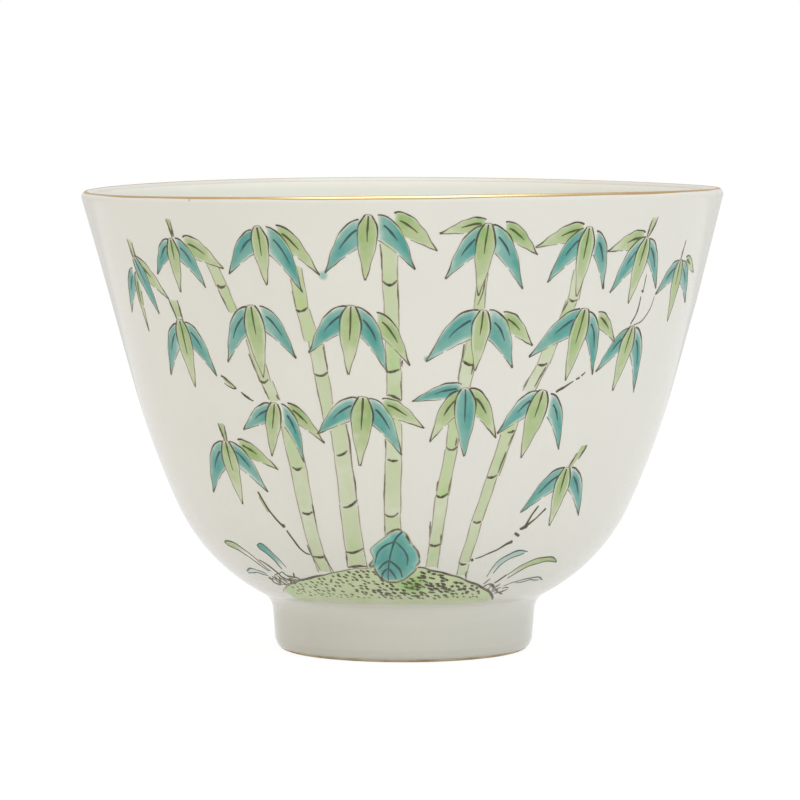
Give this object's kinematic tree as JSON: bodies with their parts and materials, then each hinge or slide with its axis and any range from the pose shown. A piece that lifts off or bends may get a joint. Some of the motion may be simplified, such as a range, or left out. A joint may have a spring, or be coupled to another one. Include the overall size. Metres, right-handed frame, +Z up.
{
  "type": "tea cup",
  "caption": "Flared porcelain tea cup on a turned foot, with a gilded lip and a bamboo grove painted in overglaze enamels round one side.",
  "frame": {"origin": "centre of the circle that the foot stands on", "axes": "+Z up along the cup's axis; the painted side faces -Y; +X is to the right of someone facing it"},
  "size_m": [0.08, 0.08, 0.0576],
  "materials": {
    "porcelain": "bare fired clay, matt",
    "clear_glaze": "clear glaze, glossy",
    "gold": "burnished gilding",
    "turquoise_enamel": "translucent enamel, glossy",
    "green_enamel": "translucent enamel, glossy",
    "mound_enamel": "translucent enamel, glossy",
    "brown_enamel": "brown-black painting enamel"
  },
  "bodies": {
    "root": {"porcelain_body": "porcelain", "outer_glaze": "clear_glaze", "inner_glaze": "clear_glaze", "base_glaze": "clear_glaze", "gilt_rim": "gold", "mound": "mound_enamel", "twigs": "brown_enamel", "rock": "turquoise_enamel", "left_culm": "green_enamel", "inner_left_culm": "green_enamel", "centre_culm": "green_enamel", "inner_right_culm": "green_enamel", "right_culm": "green_enamel", "spray_stems": "green_enamel", "upper_turquoise_leaves": "turquoise_enamel", "upper_green_leaves": "green_enamel", "middle_turquoise_leaves": "turquoise_enamel", "middle_green_leaves": "green_enamel", "lower_turquoise_leaves": "turquoise_enamel", "lower_green_leaves": "green_enamel", "green_grass": "green_enamel", "turquoise_grass": "turquoise_enamel"}
  },
  "joints": []
}
